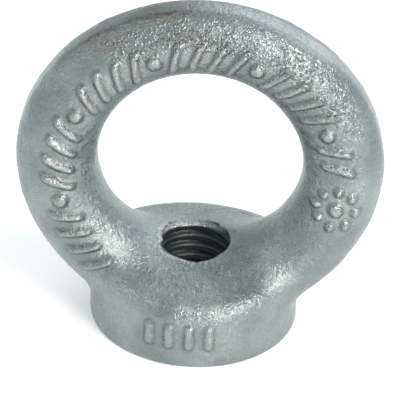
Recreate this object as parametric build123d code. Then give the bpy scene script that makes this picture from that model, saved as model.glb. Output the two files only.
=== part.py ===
"""Lifting eye nut, M10 pattern: one drop forging with a round eye over a tapped boss.

Millimetres. Z is the thread axis, the eye's plane is XZ, and the origin is the centre of the seat.
"""
import os
from math import cos, radians, sin, tan

from build123d import *

# Boss, the round foot that is faced on its seat and tapped
boss_dia = 26.0
boss_height = 10.7          # to the ridge that the dies leave along their parting plane
boss_draft = 12.0           # degrees, the top's fall from that ridge to both faces
crest_radius = 2.2          # rounding where the boss wall turns over into its top
seat_chamfer = 0.4          # round the outer edge of the seat

# Eye ring, forged in two half dies that part on the XZ plane
eye_centre_height = 22.25
ring_width = 45.0           # across the trimmed outer land
ring_rise = 21.8            # from the eye's centre to the top of the trimmed land
section_reach_leg = 5.05    # half the section, measured from the eye's centre outward
section_reach_top = 4.4
section_depth_leg = 5.5     # half the section, measured along Y
section_depth_top = 4.3
leg_flare = 3.0             # how much deeper a leg would grow at the ring's lowest point
flare_start = 0.5           # share of the way down from the eye's centre where the flare begins
section_count = 13          # in each half of the ring, from the boss's axis to the top

# Eye, trimmed between the legs
eye_width = 25.0
eye_height = 24.7
eye_lift = 0.80             # the eye sits this much above the ring's centre

# Tapped hole, drilled for an M10 x 1.5 thread
tap_drill_dia = 8.5
seat_countersink = 0.75

boss_radius = boss_dia / 2
ring_radius = ring_width / 2
trim_depth = 0.05            # how far the trim cuts into the section, which leaves the land
section_circle = ring_radius - section_reach_leg + trim_depth
die_half_width = boss_dia


def ring_section(angle):
    """An ellipse across the ring at one angle: deep at the legs, slimmer over the top."""
    lift = max(sin(radians(angle)), 0.0) ** 2
    reach = section_reach_leg + (section_reach_top - section_reach_leg) * lift
    share = 0.5 + 0.5 * sin(radians(angle))
    depth = section_depth_leg + (section_depth_top - section_depth_leg) * share
    depth += leg_flare * (max(-sin(radians(angle)) - flare_start, 0) / (1 - flare_start)) ** 2
    outward = Vector(cos(radians(angle)), 0, sin(radians(angle)))
    centre = Vector(0, 0, eye_centre_height) + outward * section_circle
    travel = Vector(-sin(radians(angle)), 0, cos(radians(angle)))
    return Plane(origin=centre, x_dir=outward, z_dir=travel) * Ellipse(reach, depth)


def die_wall(half_width, half_height, centre_height):
    """A straight die wall with an oval outline, standing along Y through both dies."""
    plane = Plane(origin=(0, 0, centre_height), x_dir=(1, 0, 0), z_dir=(0, 1, 0))
    return extrude(plane * Ellipse(half_width, half_height), die_half_width, both=True)


def eye_ring():
    """The ring in two mirrored halves, its flash trimmed to a narrow land outside and inside."""
    step = 180 / (section_count - 1)
    half = loft([ring_section(-90 + step * index) for index in range(section_count)])
    ring = half + mirror(half, Plane.YZ)
    ring = ring & die_wall(ring_radius, ring_rise, eye_centre_height)
    return ring - die_wall(eye_width / 2, eye_height / 2, eye_centre_height + eye_lift)


def boss():
    """The foot: round, faced on its seat, with a roof that falls from the parting plane."""
    eaves = boss_height - die_half_width * tan(radians(boss_draft))
    roof = Polyline(
        (-die_half_width, 0), (die_half_width, 0), (die_half_width, eaves), (0, boss_height),
        (-die_half_width, eaves), close=True,
    )
    wedge = extrude(Plane.YZ * make_face(roof), boss_dia, both=True)
    blank = Cylinder(boss_radius, boss_height, align=(Align.CENTER, Align.CENTER, Align.MIN))
    blank = blank & wedge
    crest = blank.edges().filter_by(GeomType.ELLIPSE)
    blank = fillet(crest, crest_radius)
    return chamfer(blank.edges().sort_by(Axis.Z)[0], seat_chamfer)


def tapped_hole():
    """The drill's path through the boss, with a countersink at the seat."""
    at_seat = (Align.CENTER, Align.CENTER, Align.MIN)
    drill = Cylinder(tap_drill_dia / 2, eye_centre_height, align=at_seat)
    mouth = Cone(tap_drill_dia / 2 + seat_countersink, tap_drill_dia / 2, seat_countersink, align=at_seat)
    return drill + mouth


os.makedirs("parts", exist_ok=True)
eye_nut = eye_ring() + boss() - tapped_hole()
export_step(eye_nut, "parts/eye_nut.step")
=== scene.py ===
from math import cos, pi, radians, sin, tan

import bpy
import numpy as np
from mathutils import Matrix, Vector, noise


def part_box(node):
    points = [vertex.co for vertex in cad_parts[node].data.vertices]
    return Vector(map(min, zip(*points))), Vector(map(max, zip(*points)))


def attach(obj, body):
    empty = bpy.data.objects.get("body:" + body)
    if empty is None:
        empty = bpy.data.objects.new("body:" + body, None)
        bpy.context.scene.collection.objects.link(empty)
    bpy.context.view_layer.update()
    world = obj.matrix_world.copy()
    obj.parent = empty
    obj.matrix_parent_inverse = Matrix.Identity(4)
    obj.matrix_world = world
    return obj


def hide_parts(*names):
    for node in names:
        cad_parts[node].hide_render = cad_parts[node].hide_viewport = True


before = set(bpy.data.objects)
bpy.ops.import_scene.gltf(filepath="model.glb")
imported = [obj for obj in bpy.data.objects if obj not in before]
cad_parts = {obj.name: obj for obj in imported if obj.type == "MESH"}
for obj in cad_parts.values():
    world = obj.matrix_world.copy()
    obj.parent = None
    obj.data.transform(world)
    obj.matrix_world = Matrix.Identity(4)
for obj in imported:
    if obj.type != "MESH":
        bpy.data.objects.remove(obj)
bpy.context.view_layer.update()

# ---------------------------------------------------------------- the forging
# The real nut is one steel forging: an oval-section ring that stands on a round boss. The two die
# halves part on the eye's plane, the flash is trimmed to a narrow land, and the boss's top falls
# from the parting plane to the front and the back. Lengths here are in millimetres.
box_low, box_high = [Vector(corner) * 1000 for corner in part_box("eye_nut")]
ring_radius = (box_high.x - box_low.x) / 2
mark_room = 0.42                            # the boss's wall lies this far inside its marks' crowns
boss_radius = (box_high.y - box_low.y) / 2 - mark_room
boss_half_width = boss_radius + 0.45        # a little wider along the parting plane
top_height = box_high.z
ring_rise = 21.8                            # from the ring's centre to its top
eye_centre = top_height - ring_rise         # above the seat
reach_leg, reach_top = 5.05, 4.4            # half the section, outward
depth_leg, depth_top = 5.5, 4.3             # half the section, front to back
section_circle = ring_radius - reach_leg + 0.05
eye_lift = 0.80                             # the eye's centre lies above the ring's
eye_half_width, eye_half_height = 12.5, 12.35
leg_flare, flare_start = 3.0, 0.5           # the legs deepen towards the boss
leg_tuck = 0.45                             # and lean in towards it
boss_height = 10.7
roof_slope = tan(radians(12))
ridge_softness = 1.6                        # how wide the roof's ridge is rounded
leg_blend = 1.5                             # softness of the joint between the legs and the boss
crest_blend = 2.4                           # softness of the boss's top edge
land_edge = 0.25                            # softness of the trimmed land's edges
trim_angle, trim_reach = 60, 21.55          # the flash was trimmed a little flat there
trim_blend = 1.0                            # softness of that flat's ends
seat_edge = 0.5                             # softness of the seat's rim


def soft_max(one, other, reach):
    """The larger of two fields, rounded off over a reach."""
    overlap = np.maximum(reach - np.abs(one - other), 0) / reach
    return np.maximum(one, other) + overlap ** 2 * reach / 4


def soft_min(one, other, reach):
    return -soft_max(-one, -other, reach)


def oval_distance(along, across, half_along, half_across):
    """Signed distance to an oval, close to true near its outline."""
    grown = np.sqrt((along / half_along) ** 2 + (across / half_across) ** 2) + 1e-9
    slope = np.sqrt((along / half_along ** 2) ** 2 + (across / half_across ** 2) ** 2) + 1e-9
    return grown * (grown - 1) / slope


def ring_field(x, y, z):
    """The eye ring with its trimmed land outside and inside."""
    rise = z - eye_centre
    reach_from_centre = np.hypot(x, rise)
    height_share = rise / np.maximum(reach_from_centre, 1e-6)
    lift = np.maximum(height_share, 0) ** 2
    reach = reach_leg + (reach_top - reach_leg) * lift
    depth = depth_leg + (depth_top - depth_leg) * (0.5 + 0.5 * height_share)
    depth = depth + leg_flare * (np.maximum(-height_share - flare_start, 0) / (1 - flare_start)) ** 2
    tuck = leg_tuck * np.maximum(-height_share, 0)
    section = oval_distance(reach_from_centre + tuck - section_circle, y, reach, depth)
    land = oval_distance(x, rise, ring_radius, top_height - eye_centre) + tuck
    flat = x * cos(radians(trim_angle)) + rise * sin(radians(trim_angle)) - trim_reach
    land = soft_max(land, flat, trim_blend)
    eye = oval_distance(x, rise - eye_lift, eye_half_width, eye_half_height)
    return soft_max(soft_max(section, land, land_edge), -eye, land_edge)


def boss_field(x, y, z):
    """The round foot, with a roof that falls away from the parting plane."""
    fall = roof_slope * (np.sqrt(y ** 2 + ridge_softness ** 2) - ridge_softness)
    roof = z - boss_height + fall
    wall = oval_distance(x, y, boss_half_width, boss_radius)
    return soft_max(wall, roof, crest_blend)


# ---------------------------------------------------------------- the raised marks
# Drop-forged nuts carry raised marks that the die leaves on the ring's front and the boss. These are
# plain ribs and dots that say nothing, a little lower on the boss.
ring_mark_height, boss_mark_height = 0.6, 0.42
mark_side = 0.6                             # from a mark's outline to its full height
mark_circle = 17.0                          # the marks' middle line round the ring
mark_start, mark_pitch, mark_count = 226, 8.3, 27    # degrees, from the left leg over the top
rib_length, rib_radius, rib_lean = 3.0, 0.62, 0.4    # the length is between the round ends' centres
group_size = 5                              # four ribs and a dot
dot_radius = 1.0
rosette_angle, rosette_radius = -9, 2.5
petal_count, petal_radius = 8, 0.65
boss_rib_count, boss_rib_pitch, first_boss_rib = 4, 2.5, -5.0
boss_rib_height, boss_rib_length, boss_rib_radius = 4.5, 2.4, 0.65
boss_face_depth, boss_face_top = 8.5, 8.0   # marks in front of and below these are the boss's
marks_begin, mark_paint_begin = 1.2, 1.7          # the marks, and their painted glint and shade, start this far before the eye's plane
far_off = 9.0                               # stands for any distance where there is no mark


def rib(along, across, length, radius):
    """Distance outside a straight rib with round ends."""
    beyond = np.maximum(np.abs(across) - length / 2, 0)
    return np.hypot(along, beyond) - radius


def turned_from(turn, angle):
    """Distance round the marks' circle from an angle."""
    return radians(1) * ((turn - angle + 180) % 360 - 180) * mark_circle


def ring_marks(x, y, z):
    """A rope of slanted ribs with a dot after each group, and a rosette of dots on the right leg."""
    turn = np.degrees(np.arctan2(z - eye_centre, x))
    out = np.hypot(x, z - eye_centre) - mark_circle
    nearest = np.full_like(x, far_off)
    for place in range(mark_count):
        along = turned_from(turn, mark_start - mark_pitch * place)
        if place % group_size == group_size - 1:
            mark = np.hypot(along, out) - dot_radius
        else:
            mark = rib(along + rib_lean * out, out, rib_length, rib_radius)
        nearest = np.minimum(nearest, mark)
    along = turned_from(turn, rosette_angle)
    nearest = np.minimum(nearest, np.hypot(along, out) - dot_radius)
    for step in range(petal_count):
        angle = step * 2 * pi / petal_count
        petal = np.hypot(along - rosette_radius * cos(angle), out - rosette_radius * sin(angle))
        nearest = np.minimum(nearest, petal - petal_radius)
    return nearest


def boss_marks(x, y, z):
    """Four equal upright ribs on the boss's front."""
    around = np.arctan2(x, -y) * boss_radius
    nearest = np.full_like(x, far_off)
    for place in range(boss_rib_count):
        along = around - first_boss_rib - boss_rib_pitch * place
        mark = rib(along, z - boss_rib_height, boss_rib_length, boss_rib_radius)
        nearest = np.minimum(nearest, mark)
    return nearest


def on_boss(y, z):
    """True where a mark is the boss's, false where it is the ring's."""
    return (y < -boss_face_depth) & (z < boss_face_top)


def from_mark(x, y, z):
    """Distance outside the nearest mark's outline, on the boss or on the ring."""
    return np.where(on_boss(y, z), boss_marks(x, y, z), ring_marks(x, y, z))


def mark_relief(x, y, z):
    """How far the marks stand out of the skin, like half-round beads."""
    front = np.clip(-y - marks_begin, 0, 1)
    height = np.where(on_boss(y, z), boss_mark_height, ring_mark_height)
    share = np.clip(-from_mark(x, y, z) / mark_side, 0, 1)
    return height * front * np.sin(share * pi / 2)


# ---------------------------------------------------------------- the thread
# The boss is drilled and tapped M10 x 1.5 from the seat after forging, with a countersink below.
# The tap is a single right-hand helix with sloping flanks.
thread_pitch = 1.5
core_hole_radius = 4.25
thread_depth = 0.72
seat_countersink = 0.75
rim_edge = 0.15                             # softness of the hole's rims


def hole_field(x, y, z):
    """Negative inside the tapped hole. The factors keep the field's slope near one."""
    phase = (z / thread_pitch - np.arctan2(y, x) / (2 * pi)) % 1.0
    flank = np.clip(1.25 - np.abs(phase - 0.5) * 4, 0, 1)
    radius = np.hypot(x, y)
    threaded = radius - core_hole_radius - thread_depth * flank
    mouth = (radius + z - core_hole_radius - seat_countersink) * 0.7
    return soft_max(soft_min(threaded * 0.8, mouth, 0.1), z - eye_centre, rim_edge)


def nut_field(x, y, z):
    """The whole nut: negative inside the steel."""
    body = soft_min(ring_field(x, y, z), boss_field(x, y, z), leg_blend)
    body = body - mark_relief(x, y, z)
    seat = soft_max(body, -z, seat_edge)
    return soft_max(seat, -hole_field(x, y, z), rim_edge)


# ---------------------------------------------------------------- the skin
# The real skin swells and pebbles a little where scale lay in the dies, and its seat is faced flat.
# It is found on a fine lattice, then each point is pulled onto the exact form.
lattice = 0.29                              # between neighbouring lattice points
margin = 0.8                                # of the lattice round the solid's box
square = ((0, 0), (1, 0), (1, 1), (0, 1))   # a lattice square's corners in order
swell_scale, swell_height = 0.28, 0.07
pebble_scale, pebble_height = 1.15, 0.05


def lattice_points():
    low = np.array(box_low) - margin
    counts = np.ceil((np.array(box_high) + margin - low) / lattice).astype(int) + 1
    return low, [low[axis] + lattice * np.arange(counts[axis]) for axis in range(3)]


def fill_pinches(value):
    """Fills lattice points where only a square's two opposite corners are steel, so no sheets touch."""
    found = True
    while found:
        found = False
        for axis in range(3):
            one, two = (axis + 1) % 3, (axis + 2) % 3
            steel = []
            for shift_one, shift_two in square:
                part = [slice(None)] * 3
                part[one] = slice(shift_one, value.shape[one] - 1 + shift_one)
                part[two] = slice(shift_two, value.shape[two] - 1 + shift_two)
                steel.append(value[tuple(part)] < 0)
            opposite = (steel[0] == steel[2]) & (steel[1] == steel[3]) & (steel[0] != steel[1])
            for low_corner in np.argwhere(opposite):
                open_corners = []
                for shift_one, shift_two in square:
                    corner = low_corner.copy()
                    corner[one] += shift_one
                    corner[two] += shift_two
                    if value[tuple(corner)] >= 0:
                        open_corners.append(tuple(corner))
                if len(open_corners) == 2:
                    value[min(open_corners, key=lambda corner: value[corner])] = -0.001
                    found = True


def skin_of(field):
    """A closed mesh of quads where the field is zero: one point in each cell the skin crosses."""
    low, ticks = lattice_points()
    grid = np.meshgrid(*ticks, indexing="ij")
    value = field(*grid)
    fill_pinches(value)
    inside = value < 0
    cells = tuple(size - 1 for size in value.shape)
    total = np.zeros(cells + (3,))
    hits = np.zeros(cells)
    crossings = []
    for axis in range(3):
        near = [slice(None)] * 3
        far = [slice(None)] * 3
        near[axis], far[axis] = slice(None, -1), slice(1, None)
        first, second = value[tuple(near)], value[tuple(far)]
        crossed = (first < 0) != (second < 0)
        crossings.append(crossed)
        where = np.argwhere(crossed)
        share = first[crossed] / (first[crossed] - second[crossed])
        point = where.astype(float)
        point[:, axis] += share
        others = [other for other in range(3) if other != axis]
        for shift_one in (0, 1):
            for shift_two in (0, 1):
                cell = where.copy()
                cell[:, others[0]] -= shift_one
                cell[:, others[1]] -= shift_two
                np.add.at(total, tuple(cell.T), point)
                np.add.at(hits, tuple(cell.T), 1)
    used = np.argwhere(hits > 0)
    number = np.full(cells, -1)
    number[tuple(used.T)] = np.arange(len(used))
    points = low + lattice * total[tuple(used.T)] / hits[tuple(used.T)][:, None]
    quads = []
    for axis in range(3):
        where = np.argwhere(crossings[axis])
        one, two = (axis + 1) % 3, (axis + 2) % 3
        corners = []
        for shift_one, shift_two in square:
            cell = where.copy()
            cell[:, one] -= shift_one
            cell[:, two] -= shift_two
            corners.append(number[tuple(cell.T)])
        quad = np.stack(corners, axis=1)
        flip = inside[tuple(where.T)]
        quad[flip] = quad[flip][:, ::-1]
        quads.append(quad[:, ::-1])
    return points, np.concatenate(quads)


def slope_of(field, points):
    step = 0.02
    slopes = []
    for axis in range(3):
        ahead, behind = points.copy(), points.copy()
        ahead[:, axis] += step
        behind[:, axis] -= step
        slopes.append((field(*ahead.T) - field(*behind.T)) / (2 * step))
    return np.stack(slopes, axis=1)


def pull_onto(field, points, rounds=4):
    """Moves each point along the field's slope to where the field is zero."""
    for _ in range(rounds):
        slope = slope_of(field, points)
        strength = np.maximum((slope ** 2).sum(axis=1), 0.2)
        move = field(*points.T) / strength
        points = points - np.clip(move, -lattice, lattice)[:, None] * slope
    return points


def forged_unevenness(points, outward):
    """Swells and pebbles that scale leaves in the dies, strongest over the ring's top."""
    sizes = np.zeros(len(points))
    for place, (x, y, z) in enumerate(points):
        swell = noise.noise(Vector((x, y, z)) * swell_scale) * swell_height
        pebble = noise.noise(Vector((x, y, z)) * pebble_scale) * pebble_height
        roughest_at_top = 0.35 + 0.65 * min(max((z - 18) / 18, 0), 1)
        above_seat = min(max(z / 0.6, 0), 1)
        outside_hole = min(max((x * x + y * y - 30) / 20, 0), 1)
        sizes[place] = (swell + pebble * roughest_at_top) * above_seat * outside_hole
    return points + outward * sizes[:, None]


points, quads = skin_of(nut_field)
points = pull_onto(nut_field, points)
outward = slope_of(nut_field, points)
outward /= np.linalg.norm(outward, axis=1)[:, None] + 1e-9
mark_distance = np.where(points[:, 1] < -mark_paint_begin, from_mark(*points.T), far_off)
points = forged_unevenness(points, outward)
points = np.clip(points, np.array(box_low), np.array(box_high))

nut_mesh = bpy.data.meshes.new("forged_eye_nut")
nut_mesh.from_pydata((points / 1000).tolist(), [], quads.tolist())
nut_mesh.attributes.new("mark_distance", "FLOAT", "POINT").data.foreach_set("value", mark_distance)
nut_mesh.shade_smooth()
nut = bpy.data.objects.new("forged_eye_nut", nut_mesh)
bpy.context.collection.objects.link(nut)
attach(nut, "root")
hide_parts("eye_nut")


# ---------------------------------------------------------------- the zinc plating
# Zinc over a forged skin: a cool grey with a satin gloss, pebbly where the dies were rough, with a painted
# glint on the marks' crowns and painted shade at their feet. It is stained where the flash was trimmed, its
# trimmed land on the ring's top is paler, partly a painted highlight, and the thread is bare steel painted
# dark for the shade inside the hole.
class Wire:
    """A shader socket that can be used in sums: each operator adds its Math node."""

    def __init__(self, tree, socket):
        self.tree = tree
        self.socket = socket

    def maths(self, operation, *others):
        values = {place + 1: other for place, other in enumerate(others)}
        return self.tree.node("ShaderNodeMath", {"operation": operation}, {0: self, **values})

    def __add__(self, other):
        return self.maths("ADD", other)

    def __sub__(self, other):
        return self.maths("SUBTRACT", other)

    def __mul__(self, other):
        return self.maths("MULTIPLY", other)

    def __rsub__(self, other):
        return self.tree.node("ShaderNodeMath", {"operation": "SUBTRACT"}, {0: other, 1: self})

    __radd__ = __add__
    __rmul__ = __mul__

    def step(self, low, high):
        """A smooth rise from 0 at low to 1 at high."""
        settings = {"interpolation_type": "SMOOTHSTEP"}
        inputs = {"Value": self, "From Min": low, "From Max": high}
        return self.tree.node("ShaderNodeMapRange", settings, inputs)

    def beside(self, name):
        """Another output of the same node."""
        return Wire(self.tree, self.socket.node.outputs[name])


class ShaderTree:
    """The nodes of a material, or of the room's light, under construction."""

    def __init__(self, owner):
        owner.use_nodes = True
        self.nodes = owner.node_tree.nodes
        self.links = owner.node_tree.links
        self.nodes.clear()

    def node(self, kind, settings=None, inputs=None, output=0):
        made = self.nodes.new(kind)
        for name, value in (settings or {}).items():
            setattr(made, name, value)
        for name, value in (inputs or {}).items():
            if isinstance(value, Wire):
                self.links.new(value.socket, made.inputs[name])
            else:
                made.inputs[name].default_value = value
        return Wire(self, made.outputs[output]) if made.outputs else None

    def blend(self, share, one, other):
        """Mixes two colours by a share."""
        inputs = {"Factor": share, 6: one, 7: other}
        return self.node("ShaderNodeMix", {"data_type": "RGBA"}, inputs, output=2)

    def noise(self, place, scale, detail):
        inputs = {"Vector": place, "Scale": scale, "Detail": detail}
        return self.node("ShaderNodeTexNoise", inputs=inputs)


def zinc_plate():
    """The one finish of the nut."""
    mm = 0.001
    material = bpy.data.materials.new("zinc_plate")
    zinc = ShaderTree(material)
    place = zinc.node("ShaderNodeTexCoord", output="Object")
    x = zinc.node("ShaderNodeSeparateXYZ", inputs={0: place}, output="X")
    y, z = x.beside("Y"), x.beside("Z")
    from_thread_axis = (x * x + y * y).maths("SQRT")
    from_parting = y.maths("ABSOLUTE")
    rise = z - eye_centre * mm
    from_eye_axis = (x * x + rise * rise).maths("SQRT")

    # The skin's textures, coarse to fine.
    clouds = zinc.noise(place, 170.0, 4.0)
    drift = zinc.noise(place, 900.0, 4.0)
    peel = zinc.noise(place, 1000.0, 0.0)
    ripple = zinc.noise(place, 1700.0, 1.0)
    grain = zinc.noise(place, 5000.0, 1.0)
    pebble_inputs = {"Vector": place, "Scale": 2500.0, "Smoothness": 0.35}
    pebbles = zinc.node("ShaderNodeTexVoronoi", {"feature": "SMOOTH_F1"}, pebble_inputs)

    # The raised marks: a painted glint on their crowns and painted shade at their feet.
    to_mark = zinc.node("ShaderNodeAttribute", {"attribute_name": "mark_distance"}, output="Fac")
    crown_glint_share = 1 - to_mark.step(-0.60, -0.10)
    foot_shade_share = to_mark.step(-0.20, 0.02) * (1 - to_mark.step(0.05, 0.40))

    # The tapped hole, up to its lip under the boss's roof.
    ridge = ridge_softness * mm
    roof_fall = roof_slope * ((y * y + ridge ** 2).maths("SQRT") - ridge)
    under_roof = z + roof_fall
    below_eye = 1 - z.step(14 * mm, 15 * mm)
    in_hole = (1 - from_thread_axis.step(5.0 * mm, 5.1 * mm)) * (1 - under_roof.step(10.0 * mm, 10.4 * mm))
    lip = (1 - from_thread_axis.step(4.7 * mm, 5.0 * mm)) * under_roof.step(10.1 * mm, 10.5 * mm) * below_eye

    # The ring: pebbled outside its marks, paler on the trimmed land along its top (partly a painted
    # highlight), tarnished at its upper left.
    outer_face = from_eye_axis.step(17.4 * mm, 18.8 * mm) * (1 - from_eye_axis.step(20.5 * mm, 21.6 * mm))
    pebbled = clouds.step(0.30, 0.55) * outer_face * (z + 0.3 * x).step(33 * mm, 38 * mm)
    land = (1 - from_parting.step(0.7 * mm, 1.4 * mm)) * z.step(20 * mm, 30 * mm)
    land_rim = from_parting.step(0.8 * mm, 1.2 * mm) * (1 - from_parting.step(1.4 * mm, 2.1 * mm))
    upper_left = (z - 0.2 * x).step(37 * mm, 42 * mm)
    stain = clouds.step(0.45, 0.62) * land_rim * ripple.step(0.40, 0.65) * upper_left
    tarnish = clouds.step(0.35, 0.65) * upper_left * from_eye_axis.step(18.5 * mm, 20.0 * mm)

    light_zinc, deep_zinc = (0.320, 0.365, 0.374, 1), (0.210, 0.256, 0.270, 1)
    warm_zinc, pale_land_and_sheen = (0.35, 0.33, 0.29, 1), (0.52, 0.56, 0.56, 1)
    painted_foot_shade, painted_crown_glint = (0.120, 0.118, 0.105, 1), (0.50, 0.47, 0.42, 1)
    tarnished, brown = (0.205, 0.190, 0.165, 1), (0.09, 0.06, 0.042, 1)
    bright_lip, steel_in_painted_hole_shade = (0.42, 0.41, 0.37, 1), (0.052, 0.068, 0.070, 1)
    colour = zinc.blend(clouds.step(0.34, 0.66), deep_zinc, light_zinc)
    colour = zinc.blend(ripple.step(0.52, 0.72) * 0.45, colour, warm_zinc)
    colour = zinc.blend(grain.step(0.44, 0.58) * 0.35, colour, deep_zinc)
    # Painted shade at the marks' feet, darker where the skin meets a mark.
    colour = zinc.blend(foot_shade_share * 0.40, colour, painted_foot_shade)
    # A painted glint, warm and pale, on the marks' crowns.
    colour = zinc.blend(crown_glint_share * 0.30, colour, painted_crown_glint)
    # The trimmed land along the ring's top: partly its cleaner finish, partly a painted highlight.
    colour = zinc.blend(land * 0.35, colour, pale_land_and_sheen)
    colour = zinc.blend(tarnish * 0.60, colour, tarnished)
    colour = zinc.blend(stain * 0.60, colour, brown)
    colour = zinc.blend(drift.step(0.69, 0.75) * 0.25, colour, brown)
    colour = zinc.blend(lip * 0.4, colour, bright_lip)
    # The tapped hole's bare steel is painted near black for the shade inside it.
    colour = zinc.blend(in_hole * 0.9, colour, steel_in_painted_hole_shade)

    roughness = 0.21 + 0.14 * drift + 0.20 * in_hole
    domes = (1 - pebbles.step(0.05, 0.6)) * pebbled
    relief = (peel * 0.25 + ripple * 0.40 + grain * 0.42 + domes * 0.8) * (1 - 0.8 * in_hole)
    skin = zinc.node("ShaderNodeBump", inputs={"Strength": 1.0, "Distance": 0.27 * mm, "Height": relief})
    surface = zinc.node("ShaderNodeBsdfPrincipled", inputs={
        "Base Color": colour, "Roughness": roughness, "Metallic": 0.85, "Normal": skin,
    })
    zinc.node("ShaderNodeOutputMaterial", inputs={"Surface": surface})
    return material


nut_mesh.materials.append(zinc_plate())


# ---------------------------------------------------------------- the table, lamps and camera
# The nut stands on a plain white table in a pale room with five soft lamps, and is seen from in
# front and above.
def white_table():
    """Matt white that also shows white to the camera and in the metal, and keeps its shadow."""
    material = bpy.data.materials.new("white_table")
    table = ShaderTree(material)
    camera_ray = table.node("ShaderNodeLightPath", output="Is Camera Ray")
    seen = camera_ray.maths("MAXIMUM", camera_ray.beside("Is Glossy Ray"))
    seen = seen.maths("MAXIMUM", camera_ray.beside("Is Transmission Ray"))
    matt = table.node("ShaderNodeBsdfDiffuse", inputs={"Color": (0.86, 0.86, 0.86, 1)})
    glow = table.node("ShaderNodeEmission", inputs={"Color": (1, 1, 1, 1), "Strength": seen * 0.30})
    surface = table.node("ShaderNodeAddShader", inputs={0: matt, 1: glow})
    table.node("ShaderNodeOutputMaterial", inputs={"Surface": surface})
    return material


def table_top(half_size):
    mesh = bpy.data.meshes.new("table")
    turns = ((-1, -1), (1, -1), (1, 1), (-1, 1))
    corners = [(across * half_size, along * half_size, 0) for across, along in turns]
    mesh.from_pydata(corners, [], [(0, 1, 2, 3)])
    mesh.materials.append(white_table())
    table = bpy.data.objects.new("table", mesh)
    bpy.context.collection.objects.link(table)


def soft_lamp(name, azimuth, elevation, distance, size, power, colour):
    """A square softbox that faces the nut."""
    aim = Vector((0, 0, 0.02))
    direction = Vector((
        sin(radians(azimuth)) * cos(radians(elevation)),
        -cos(radians(azimuth)) * cos(radians(elevation)),
        sin(radians(elevation)),
    ))
    light = bpy.data.lights.new(name, "AREA")
    light.size = size
    light.energy = power
    light.color = colour
    lamp = bpy.data.objects.new(name, light)
    lamp.location = aim + direction * distance
    lamp.rotation_euler = direction.to_track_quat("Z", "Y").to_euler()
    bpy.context.collection.objects.link(lamp)


def pale_room():
    """A room that is pale at the horizon and dim overhead."""
    world = bpy.data.worlds.new("pale_room")
    bpy.context.scene.world = world
    room = ShaderTree(world)
    direction = room.node("ShaderNodeTexCoord", output="Generated")
    height = room.node("ShaderNodeSeparateXYZ", inputs={0: direction}, output="Z")
    strength = room.node("ShaderNodeMapRange", inputs={
        "Value": height, "From Min": 0.45, "From Max": 0.95, "To Min": 0.66, "To Max": 0.12,
    })
    cool_white = (0.83, 0.965, 1.0, 1)
    light = room.node("ShaderNodeBackground", inputs={"Color": cool_white, "Strength": strength})
    room.node("ShaderNodeOutputWorld", inputs={"Surface": light})


def camera_view():
    """A long lens about a third of a metre away, tipped a little."""
    azimuth, elevation, roll = radians(1.66), radians(34.0), radians(2.75)
    distance = 0.320
    back = Vector((sin(azimuth) * cos(elevation), -cos(azimuth) * cos(elevation), sin(elevation)))
    level = Vector((cos(azimuth), sin(azimuth), 0))
    upright = back.cross(level)
    across = level * cos(roll) + upright * sin(roll)
    up = upright * cos(roll) - level * sin(roll)
    aim = Vector((0, 0, 0.020)) - up * 0.00292 + across * 0.00010
    data = bpy.data.cameras.new("camera")
    data.sensor_width = 36
    data.lens = 234.9
    camera = bpy.data.objects.new("camera", data)
    axes = Matrix((across, up, back)).transposed().to_4x4()
    camera.matrix_world = Matrix.Translation(aim + back * distance) @ axes
    bpy.context.collection.objects.link(camera)
    bpy.context.scene.camera = camera


table_top(1.5)
soft_lamp("key_lamp", 42, 40, 0.55, 0.18, 2.0, (1.0, 0.93, 0.85))
soft_lamp("low_lamp", 28, 5, 0.55, 0.12, 0.75, (1.0, 0.93, 0.85))
soft_lamp("left_lamp", -70, 40, 0.6, 0.20, 0.5, (1.0, 0.95, 0.90))
soft_lamp("top_lamp", 20, 82, 0.6, 0.50, 0.8, (1.0, 0.97, 0.93))
soft_lamp("back_lamp", 150, 36, 0.7, 0.60, 1.9, (0.95, 0.98, 1.0))
pale_room()
camera_view()
bpy.context.scene.view_settings.view_transform = "Standard"
